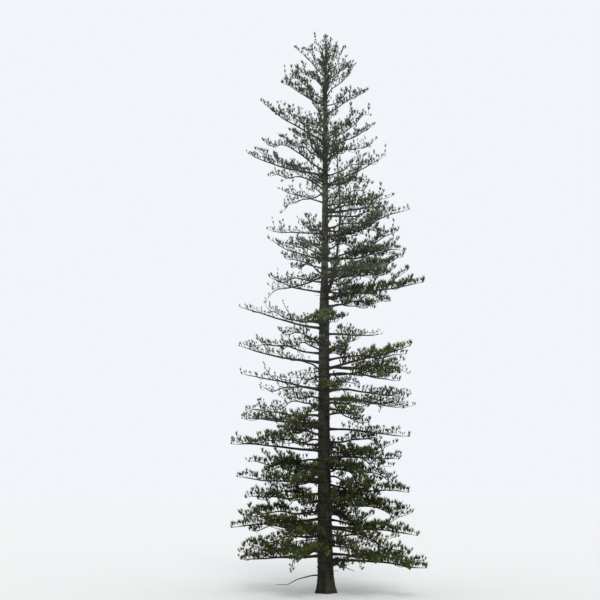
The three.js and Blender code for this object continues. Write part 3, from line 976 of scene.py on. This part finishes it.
def buildLight():
    world = bpy.data.worlds.new("studio")
    world.use_nodes = True
    sky = world.node_tree.nodes["Background"]
    sky.inputs["Color"].default_value = studio["skyColour"]
    sky.inputs["Strength"].default_value = studio["skyStrength"]
    bpy.context.scene.world = world
    bpy.context.scene.view_settings.view_transform = "Standard"
    lamp = bpy.data.lights.new("keyLight", "SUN")
    lamp.energy = studio["sunStrength"]
    lamp.angle = math.radians(studio["sunAngle"])
    key = bpy.data.objects.new("keyLight", lamp)
    key.rotation_euler = [math.radians(turn) for turn in studio["sunTurn"]]
    bpy.context.scene.collection.objects.link(key)


camera = {
    "place": (-1.5, -60.0, 5.9),
    "aim": (-1.5, 0.0, 17.4),
    "frameHeight": 37.0,  # of what the frame takes in at the trunk
    "sensor": 36,
    "furthest": 1000,
}


def buildCamera():
    eye = bpy.data.cameras.new("photoCamera")
    holder = bpy.data.objects.new("photoCamera", eye)
    bpy.context.scene.collection.objects.link(holder)
    rise = camera["aim"][2] - camera["place"][2]
    distance = camera["aim"][1] - camera["place"][1]
    pitch = math.atan2(rise, distance)
    holder.location = camera["place"]
    holder.rotation_euler = (math.pi / 2 + pitch, 0, 0)
    eye.sensor_width = camera["sensor"]
    eye.lens = camera["sensor"] * math.hypot(rise, distance) / camera["frameHeight"]
    eye.clip_end = camera["furthest"]
    bpy.context.scene.camera = holder


# Wood by hand: a ring of corners is extruded upwards, moved and scaled at each step.

def stackRings(name, sides, rings):
    # rings: (centre, radius) from the foot to the top
    bpy.ops.object.select_all(action="DESELECT")
    centre, radius = rings[0]
    bpy.ops.mesh.primitive_circle_add(vertices=sides, radius=radius, fill_type="NGON", location=centre)
    piece = bpy.context.active_object
    piece.name = name
    bpy.ops.object.transform_apply(location=True, rotation=True, scale=True)
    bpy.ops.object.mode_set(mode="EDIT")
    bpy.ops.mesh.select_all(action="SELECT")
    for (oldCentre, oldRadius), (centre, radius) in zip(rings, rings[1:]):
        step = [float(b - a) for a, b in zip(oldCentre, centre)]
        bpy.ops.mesh.extrude_region_move(TRANSFORM_OT_translate={"value": step})
        scale = radius / oldRadius
        bpy.ops.transform.resize(value=(scale, scale, 1), center_override=[float(c) for c in centre])
    bpy.ops.mesh.select_all(action="SELECT")
    bpy.ops.mesh.normals_make_consistent(inside=False)
    bpy.ops.object.mode_set(mode="OBJECT")
    return piece


def addRelief(piece, name, size, depth, stretch):
    texture = bpy.data.textures.new(name, "CLOUDS")
    texture.noise_scale = size
    texture.noise_depth = 3
    helper = bpy.data.objects.new(name + "Scale", None)
    helper.scale = stretch
    bpy.context.scene.collection.objects.link(helper)
    bpy.context.view_layer.update()
    relief = piece.modifiers.new(name, "DISPLACE")
    relief.texture = texture
    relief.texture_coords = "OBJECT"
    relief.texture_coords_object = helper
    relief.strength = depth
    relief.mid_level = 0.5
    bpy.context.view_layer.objects.active = piece
    bpy.ops.object.modifier_apply(modifier=relief.name)
    bpy.data.objects.remove(helper)


def tightenFoot(piece, rim):
    # A narrow rim round the flat cut keeps its edge when the mesh is rounded.
    bpy.ops.object.mode_set(mode="EDIT")
    bpy.ops.mesh.select_all(action="DESELECT")
    bpy.ops.object.mode_set(mode="OBJECT")
    lowest = min(piece.data.polygons, key=lambda face: face.center.z)
    lowest.select = True
    bpy.ops.object.mode_set(mode="EDIT")
    bpy.ops.mesh.inset(thickness=rim)
    bpy.ops.object.mode_set(mode="OBJECT")


def smoothOut(piece, levels):
    rounding = piece.modifiers.new("rounding", "SUBSURF")
    rounding.levels = levels
    rounding.render_levels = levels
    bpy.context.view_layer.objects.active = piece
    bpy.ops.object.modifier_apply(modifier=rounding.name)


def coordsOf(mesh):
    flat = np.empty(len(mesh.vertices) * 3, np.float32)
    mesh.vertices.foreach_get("co", flat)
    return flat.reshape(-1, 3).astype(float)


def setCoords(mesh, points):
    mesh.vertices.foreach_set("co", points.astype(np.float32).ravel())
    mesh.update()


def dress(piece, bark):
    piece.data.materials.clear()
    piece.data.materials.append(bark)
    piece.data.shade_smooth()


def collarHeights():
    heights = [tier[0] + rise for tier in crown["tiers"] for rise in trunk["collarRises"]]
    return [h for h in heights if h < trunk["topCollar"]]


def trunkRings():
    swells = {}
    for i in range(trunk["plainRings"] + 1):
        share = (i / trunk["plainRings"]) ** trunk["ringCrowding"]
        swells[round(trunk["top"] * share, 3)] = 1.0
    for collar in collarHeights():
        near = [h for h in swells if abs(h - collar) < trunk["collarClear"] and 0 < h < trunk["top"]]
        for h in near:
            del swells[h]
        for rise, swell in trunk["collarSteps"]:
            swells[round(collar + rise, 3)] = 1 + swell
    for h in (trunk["rim"], *(step[0] for step in trunk["profile"][1:4])):
        swells.setdefault(h, 1.0)
    return [(trunkAxis(h), trunkRadius(h) * swells[h]) for h in sorted(swells)]


def flareRoots(piece):
    points = coordsOf(piece.data)
    middle = np.array([trunkAxis(z)[0] for z in points[:, 2]])
    angle = np.arctan2(points[:, 1], points[:, 0] - middle)
    lobes = np.cos(trunk["flareLobes"] * angle + trunk["flareTurn"])
    swell = 1 + trunk["flareDepth"] * np.exp(-points[:, 2] / trunk["flareFade"]) * lobes
    points[:, 0] = middle + (points[:, 0] - middle) * swell
    points[:, 1] *= swell
    setCoords(piece.data, points)


# Painted shadow: a dark line just under each collar, stored in the collar attribute for the bark's colour
def paintCollarShadows(piece):
    points = coordsOf(piece.data)
    paintedShadow = np.zeros(len(points))
    drop, width = trunk["collarShadowLine"]
    for collar in collarHeights():
        paintedShadow = np.maximum(paintedShadow, np.exp(-((points[:, 2] - collar + drop) / width) ** 2))
    attribute = piece.data.attributes.new("collar", "FLOAT", "POINT")
    attribute.data.foreach_set("value", paintedShadow.astype(np.float32))


def buildTrunk(bark):
    piece = stackRings("trunkBark", trunk["sides"], trunkRings())
    tightenFoot(piece, trunk["rim"])
    flareRoots(piece)
    smoothOut(piece, trunk["rounding"])
    for pattern in trunk["relief"]:
        addRelief(piece, *pattern)
    points = coordsOf(piece.data)
    points[:, 2] = np.where(points[:, 2] < trunk["cutHeight"], 0.0, points[:, 2])  # the flat cut
    setCoords(piece.data, points)
    paintCollarShadows(piece)
    dress(piece, bark)
    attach(piece, "root")
    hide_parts("trunk")


sideStem = {
    "foot": 17.3,
    "shoulder": 18.8,
    "shoulderShare": 0.55,
    "top": 27.3,
    "topShare": 0.8,
    "azimuth": 8,
    "stand": 0.93,
    "footRadius": 0.115,
    "topRadius": 0.034,
    "sides": 12,
    "rings": 60,
    "collarSwell": 1.09,
    "collarEvery": 5,  # rings
    "firstCollar": 3,
    "rounding": 2,
    "relief": ("sidePlates", 0.07, 0.014, (1, 1, 0.5)),
}


def sideStemHolds():
    out = level(sideStem["azimuth"]) * sideStem["stand"]
    middle = (sideStem["foot"] + sideStem["top"]) / 2
    held = [trunkAxis(sideStem["foot"]), trunkAxis(sideStem["shoulder"]) + out * sideStem["shoulderShare"],
            trunkAxis(middle) + out, trunkAxis(sideStem["top"]) + out * sideStem["topShare"]]
    return [2 * held[0] - held[1], *held, 2 * held[3] - held[2]]


def sideStemPoint(t):  # the source's centripetal curve through four points
    place = min(t, 0.99999) * 3  # the end still counts as part of the third stretch
    k = int(place)
    w = place - k
    p0, p1, p2, p3 = sideStemHolds()[k:k + 4]
    d0, d1, d2 = (np.linalg.norm(b - a) ** 0.5 for a, b in ((p0, p1), (p1, p2), (p2, p3)))
    m1 = ((p1 - p0) / d0 - (p2 - p0) / (d0 + d1) + (p2 - p1) / d1) * d1
    m2 = ((p2 - p1) / d1 - (p3 - p1) / (d1 + d2) + (p3 - p2) / d2) * d1
    square = -3 * p1 + 3 * p2 - 2 * m1 - m2
    cube = 2 * p1 - 2 * p2 + m1 + m2
    return p1 + m1 * w + square * w ** 2 + cube * w ** 3


def sideStemRing(i):
    t = i / sideStem["rings"]
    swell = sideStem["collarSwell"] if i % sideStem["collarEvery"] == sideStem["firstCollar"] else 1
    return sideStemPoint(t), mix(sideStem["footRadius"], sideStem["topRadius"], t) * swell


def buildSideStem(bark):
    rings = [sideStemRing(i) for i in range(sideStem["rings"] + 1)]
    piece = stackRings("sideStemBark", sideStem["sides"], rings)
    smoothOut(piece, sideStem["rounding"])
    addRelief(piece, *sideStem["relief"])
    dress(piece, bark)
    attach(piece, "root")
    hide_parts("side_stem")


# What grows on round the stems: the leader over the trunk's top, the side stem and its own top, and
# short shoots round the upper trunk.
shoots = {
    "leader": {"seed": 7001, "tier": 15, "foot": 33.7, "top": 34.93, "steps": 12, "spacing": 0.040,
               "lengths": (0.55, 0.12), "girth": 0.034},
    "sideTop": {"seed": 7002, "tier": 12, "foot": -0.1, "top": 1.24, "steps": 12, "spacing": 0.055,
                "lengths": (0.42, 0.12), "girth": 0.030},
    "sideStem": {"seed": 7003, "tier": 9, "foot": 0.16, "top": 1, "steps": 40, "spacing": 0.085,
                 "lengths": (0.34, 0.42)},
    "trunk": {"seed": 7004, "tier": 15, "foot": 24.6, "top": 33.4, "steps": 30, "spacing": 0.072,
              "lengths": (0.42, 0.60)},
}


def stemLimb(name, placeAt):
    plan = shoots[name]
    path = np.array([placeAt(z) for z in np.linspace(plan["foot"], plan["top"], plan["steps"])])
    length = pathLength(path)
    return {"tier": plan["tier"], "seed": plan["seed"], "path": path, "reach": length, "length": length,
            "lush": 1.0, "level": 2, "twigSpacing": plan["spacing"], "twigLengths": plan["lengths"],
            "girth": plan.get("girth", 0)}


def stemLimbs():
    tip = sideStemPoint(1.0)
    onward = unit(tip - sideStemPoint(0.98))
    return [stemLimb("leader", trunkAxis), stemLimb("sideTop", lambda rise: tip + onward * rise),
            stemLimb("sideStem", sideStemPoint), stemLimb("trunk", trunkAxis)]


# Dead limbs low on the trunk, the longest to the left: foot height, azimuth, length and how far the
# tip hangs under the foot. Broken stubs stand all over the trunk, and more of them in rings low down.
deadLimb = {
    "seed": 77,
    "limbs": [(3.15, 186, 1.6, 0.45), (2.45, 178, 2.5, 0.55), (1.05, 183, 2.4, 0.62), (4.9, 15, 1.2, 0.3),
              (1.7, 338, 1.3, 0.35), (3.6, 262, 0.9, 0.2)],
    "girth": 0.046,
    "tipGirth": 0.014,
    "sides": 7,
    "rings": 14,
    "sweep": 6,
    "kneeDrop": 0.25,  # at the knee, as a share of the drop
    "wander": 0.12,
    "rootDepth": 0.8,  # of the trunk's radius, where it starts inside the trunk
    "stubs": 64,
    "stubHeights": (0.9, 26),
    "stubReach": (0.12, 0.55),
    "stubGirth": 0.019,
    "stubRise": (-0.06, 0.08),
    "stubTaper": 0.55,
    "stubDepth": 0.85,
    "stubSides": 6,
    "stubRings": 4,
    "whorls": (2.8, 3.4, 4.5, 5.7, 6.3, 7.0, 8.2),  # the heights of those rings
    "whorlStubs": 9,
    "whorlReach": (0.03, 0.20),
    "whorlGirth": 0.042,
    "whorlHeightJitter": 0.04,
    "whorlTurnJitter": 16,
}


def deadTube(height, azimuth, length, drop, rng):
    root = trunkAxis(height)
    reach = length + trunkRadius(height)
    knee = root + level(azimuth) * reach / 2 - up * drop * deadLimb["kneeDrop"]
    tip = root + level(azimuth + deadLimb["sweep"]) * reach - up * drop
    shares = np.linspace(deadLimb["rootDepth"] * trunkRadius(height) / reach, 1, deadLimb["rings"])
    radii = np.linspace(deadLimb["girth"], deadLimb["tipGirth"], deadLimb["rings"])
    path = pathOf((root, knee, tip), deadLimb["wander"], height)
    return tube({"path": path}, shares, radii, deadLimb["sides"], rng)


def stubTube(height, reach, azimuth, girth, rng):
    root = trunkAxis(height)
    tip = root + level(azimuth) * reach + up * rng.uniform(*deadLimb["stubRise"])
    shares = np.linspace(deadLimb["stubDepth"] * trunkRadius(height) / reach, 1, deadLimb["stubRings"])
    radii = np.linspace(girth, girth * deadLimb["stubTaper"], deadLimb["stubRings"])
    return tube({"path": np.linspace(root, tip, 5)}, shares, radii, deadLimb["stubSides"], rng)


def looseStub(rng):
    height = rng.uniform(*deadLimb["stubHeights"])
    reach = trunkRadius(height) + rng.uniform(*deadLimb["stubReach"])
    azimuth = rng.uniform(0, 360)
    return stubTube(height, reach, azimuth, deadLimb["stubGirth"], rng)


def whorlStub(whorl, heading, rng):
    off, turn = deadLimb["whorlHeightJitter"], deadLimb["whorlTurnJitter"]
    height = whorl + rng.uniform(-off, off)
    reach = trunkRadius(height) + rng.uniform(*deadLimb["whorlReach"])
    azimuth = heading + rng.uniform(-turn, turn)
    return stubTube(height, reach, azimuth, deadLimb["whorlGirth"], rng)


def deadTubes():
    rng = np.random.default_rng(deadLimb["seed"])
    count = deadLimb["whorlStubs"]
    tubes = [deadTube(*plan, rng) for plan in deadLimb["limbs"]]
    tubes += [looseStub(rng) for _ in range(deadLimb["stubs"])]
    for whorl in deadLimb["whorls"]:
        tubes += [whorlStub(whorl, 360 * k / count, rng) for k in range(count)]
    return tubes


# Putting it together

# The tiers of each foliage piece, from the ground up
zones = [(0,), (1,), (2, 3), (4, 5, 6), (7, 8), (9, 10, 11), (12, 13, 14, 15)]


def massNodes(tiers):
    found = []
    for name in sorted(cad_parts):
        number = name[-2:]
        if name.startswith("foliage_") and number.isdigit() and int(number) - 1 in tiers:
            found.append(name)
    return found


def buildFoliage(leaves, greens):
    for number, tiers in enumerate(zones, 1):
        grown = [leaf for leaf in leaves if leaf["tier"] in tiers]
        feet, tips, sizes = (np.concatenate([leaf["needles"][i] for leaf in grown]) for i in range(3))
        tints = np.concatenate([leaf["tints"] for leaf in grown])
        turns = np.random.default_rng(tuft["turnSeed"] + number).uniform(0, 2 * math.pi, len(feet))
        needles = straightSprouts(feet, tips, sizes * tuft["girth"], turns)
        kept = insideBox(needles)
        needles, tints = needles[kept], tints[kept]
        faces = facesOf(needles, needleFaces)
        piece = meshPiece(f"needleSprays_{number}", needles.reshape(-1, 3), faces, greens,
                          np.repeat(tints, len(needleFaces)))
        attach(piece, "root")
        extra = ["foliage_leader", "foliage_side_stem"] if number == len(zones) else []
        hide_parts(*massNodes(tiers), *extra)
        print("foliage", number, len(faces), "triangles")


def buildTwigs(leaves, wood):
    feet, knees, tips, lengths = (np.concatenate([leaf["twigs"][i] for leaf in leaves]) for i in range(4))
    turns = np.random.default_rng(twig["turnSeed"]).uniform(0, 2 * math.pi, len(feet))
    girths = twig["girth"] * (twig["girthBase"] + lengths)
    twigs = bentSprouts(feet, knees, tips, girths, turns)
    twigs = twigs[insideBox(twigs)]
    faces = facesOf(twigs, twigFaces)
    piece = meshPiece("twigs", twigs.reshape(-1, 3), faces, [wood])
    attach(piece, "root")
    print("twigs", len(faces), "triangles")


def buildBoughs(boughs, limbs, stems, wood):
    parts = [boughTube(bough) for bough in boughs] + [sideTube(limb) for limb in limbs]
    parts += [sideTube(stem) for stem in stems if stem["girth"] > 0]
    points, faces = joined(parts)
    piece = meshPiece("boughWood", points, faces, [wood])
    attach(piece, "root")
    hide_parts(*[name for name in sorted(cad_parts) if name.startswith("bough_")])
    print("boughs", len(faces), "triangles")


def buildDeadWood(wood):
    points, faces = joined(deadTubes())
    piece = meshPiece("deadLimbs", points, faces, [wood])
    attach(piece, "root")
    print("dead limbs", len(faces), "triangles")


bark = barkMaterial("trunkBark")
boughBark = barkMaterial("boughBark")
deadBark = barkMaterial("deadBark")
greens = needleMaterials()
buildCamera()
buildFloor()
buildLight()
print("camera, floor and light set")
buildTrunk(bark)
buildSideStem(bark)
print("trunk and side stem built")
boughs = allBoughs()
limbs = [limb for bough in boughs for limb in sideLimbs(bough)]
stems = stemLimbs()
buildBoughs(boughs, limbs, stems, boughBark)
buildDeadWood(deadBark)
leaves = [leavesOf(limb) for limb in boughs + limbs + stems]
buildTwigs(leaves, boughBark)
buildFoliage(leaves, greens)
